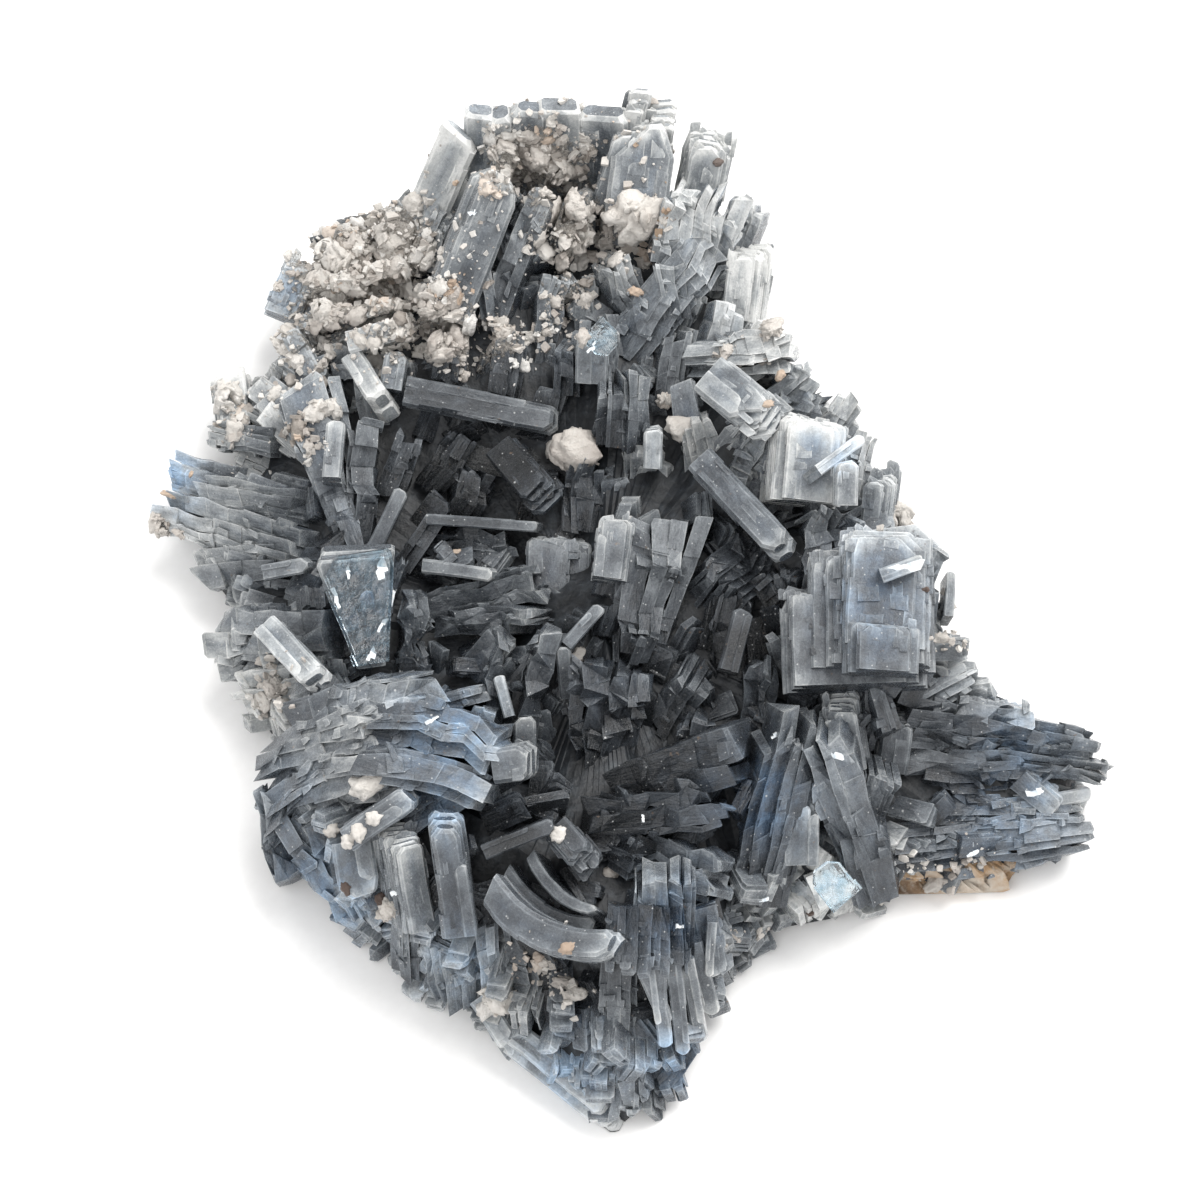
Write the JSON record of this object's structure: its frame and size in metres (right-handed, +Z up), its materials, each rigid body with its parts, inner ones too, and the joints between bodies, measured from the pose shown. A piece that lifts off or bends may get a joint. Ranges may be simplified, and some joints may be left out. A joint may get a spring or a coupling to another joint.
{
  "type": "barite crystal cluster",
  "caption": "Cluster of blue-grey bladed barite crystals grown together round a hollow on a tan matrix, resting on its flat cut underside.",
  "frame": {"origin": "on the flat underside of the matrix, near the middle of the cluster", "axes": "+Z up from the flat underside, +Y towards the raised far crest, +X towards the long tail of blades"},
  "size_m": [0.1227, 0.1357, 0.0354],
  "materials": {
    "blue_barite": "glossy striated crystal, slightly clear at thin edges",
    "druse": "fine pale drusy crust",
    "matrix": "dull earthy rock"
  },
  "bodies": {
    "root": {"barite_crystals": "blue_barite", "matrix_rock": "matrix"}
  },
  "joints": []
}
